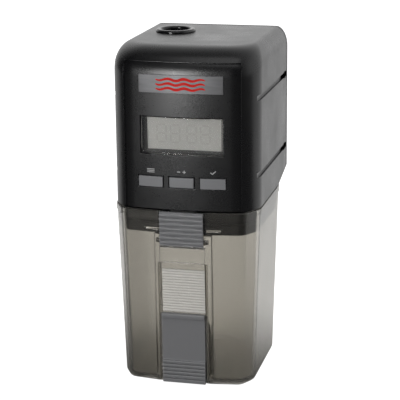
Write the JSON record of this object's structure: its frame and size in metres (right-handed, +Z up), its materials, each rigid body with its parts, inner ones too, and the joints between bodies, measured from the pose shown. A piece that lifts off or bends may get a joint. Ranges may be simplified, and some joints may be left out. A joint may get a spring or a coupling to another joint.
{
  "type": "automatic fish feeder",
  "caption": "Battery-powered aquarium feeder: black housing with display and keys over a tapered smoke-tinted food drum that turns, with a dosing slide and a latch flap.",
  "frame": {"origin": "centre of the drum's flat base, on the axis that the drum turns about", "axes": "+Z up along the drum's axis, -Y towards the display, +X to the right as the display is read"},
  "size_m": [0.0684, 0.0793, 0.1589],
  "materials": {
    "black_plastic": "fine-textured satin",
    "inner_black": "satin",
    "grey_plastic": "satin",
    "white_plastic": "satin",
    "nylon": "natural",
    "rubber": "moulded",
    "board": "solder resist",
    "silver": "fine brushed",
    "steel": "plain",
    "brass": "cut",
    "cell": "printed sleeve",
    "liquid_crystal": "gloss",
    "clear_plastic": "polished",
    "smoke_plastic": "polished, smoke tinted"
  },
  "bodies": {
    "housing": {"front_housing": "black_plastic", "back_cover": "black_plastic", "deck_plate": "black_plastic", "cover_screw_1": "steel", "cover_screw_2": "steel", "badge_plate": "silver", "display_lens": "clear_plastic", "display_frame": "inner_black", "display_glass": "liquid_crystal", "circuit_board": "board", "controller_chip": "inner_black", "switch_left": "inner_black", "switch_middle": "inner_black", "switch_right": "inner_black", "inlet_ring": "inner_black", "inlet_grille": "inner_black", "fan_duct": "inner_black", "fan_motor": "steel", "battery_tray": "inner_black", "battery_cell_1": "cell", "battery_cell_2": "cell", "battery_cell_3": "cell", "battery_cell_4": "cell", "contact_spring_1": "steel", "contact_spring_2": "steel", "contact_spring_3": "steel", "contact_spring_4": "steel", "contact_plate_bottom_left": "steel", "contact_plate_bottom_middle": "steel", "contact_plate_bottom_right": "steel", "contact_plate_top_left": "steel", "contact_plate_top_right": "steel", "bearing_bush": "nylon", "gearbox_base": "white_plastic", "gearbox_cover": "white_plastic", "gear_pin_1": "steel", "gear_pin_2": "steel", "gearbox_screw_1": "steel", "gearbox_screw_2": "steel", "drive_motor": "steel"},
    "battery_door": {"battery_door": "black_plastic"},
    "key_left": {"key_left": "grey_plastic"},
    "key_middle": {"key_middle": "grey_plastic"},
    "key_right": {"key_right": "grey_plastic"},
    "fan_impeller": {"fan_impeller": "inner_black"},
    "motor_pinion": {"motor_pinion": "brass"},
    "compound_gear_2": {"compound_gear_2": "nylon"},
    "compound_gear_1": {"compound_gear_1": "nylon"},
    "hub": {"drive_hub": "inner_black", "output_gear": "nylon", "retaining_clip": "steel", "drum_seal": "rubber"},
    "drum": {"food_drum": "smoke_plastic", "dosing_hood": "inner_black", "dosing_scale": "white_plastic"},
    "dosing_slide": {"dosing_slide": "grey_plastic"},
    "latch_flap": {"latch_flap": "grey_plastic"}
  },
  "joints": [
    {"name": "battery_door_slide", "type": "slide", "parent": "housing", "child": "battery_door", "axis": [0, 0, -1], "range_m": [0, 0.055]},
    {"name": "key_left_press", "type": "slide", "parent": "housing", "child": "key_left", "axis": [0, 1, 0], "range_m": [0, 0.0008], "stiffness_N_per_m": 300, "springref_m": -0.001},
    {"name": "key_middle_press", "type": "slide", "parent": "housing", "child": "key_middle", "axis": [0, 1, 0], "range_m": [0, 0.0008], "stiffness_N_per_m": 300, "springref_m": -0.001},
    {"name": "key_right_press", "type": "slide", "parent": "housing", "child": "key_right", "axis": [0, 1, 0], "range_m": [0, 0.0008], "stiffness_N_per_m": 300, "springref_m": -0.001},
    {"name": "fan_spin", "type": "hinge", "parent": "housing", "child": "fan_impeller", "pos_m": [-0.015, 0.0172, 0.15], "axis": [0, 0, 1], "continuous": true},
    {"name": "drum_spin", "type": "hinge", "parent": "housing", "child": "hub", "pos_m": [0, 0, 0.0865], "axis": [0, 0, 1], "continuous": true},
    {"name": "compound_gear_1_spin", "type": "hinge", "parent": "housing", "child": "compound_gear_1", "pos_m": [-0.018, 0, 0.092], "axis": [0, 0, 1], "continuous": true},
    {"name": "compound_gear_2_spin", "type": "hinge", "parent": "housing", "child": "compound_gear_2", "pos_m": [-0.00495, 0.00609, 0.095], "axis": [0, 0, 1], "continuous": true},
    {"name": "motor_pinion_spin", "type": "hinge", "parent": "housing", "child": "motor_pinion", "pos_m": [0.00858, 0.00116, 0.096], "axis": [0, 0, 1], "continuous": true},
    {"name": "drum_release", "type": "slide", "parent": "hub", "child": "drum", "axis": [0, 0, -1], "range_m": [0, 0.035]},
    {"name": "dosing_slide_travel", "type": "slide", "parent": "drum", "child": "dosing_slide", "axis": [0, -0.0325, 0.9995], "range_m": [0, 0.0203]},
    {"name": "latch_swing", "type": "hinge", "parent": "drum", "child": "latch_flap", "pos_m": [0, -0.03344, 0.06972], "axis": [1, 0, 0], "range_deg": [0, 16]}
  ],
  "couplings": [
    {"joint": "compound_gear_1_spin", "follows": "drum_spin", "ratio": -4},
    {"joint": "compound_gear_2_spin", "follows": "drum_spin", "ratio": 12},
    {"joint": "motor_pinion_spin", "follows": "drum_spin", "ratio": -36}
  ]
}
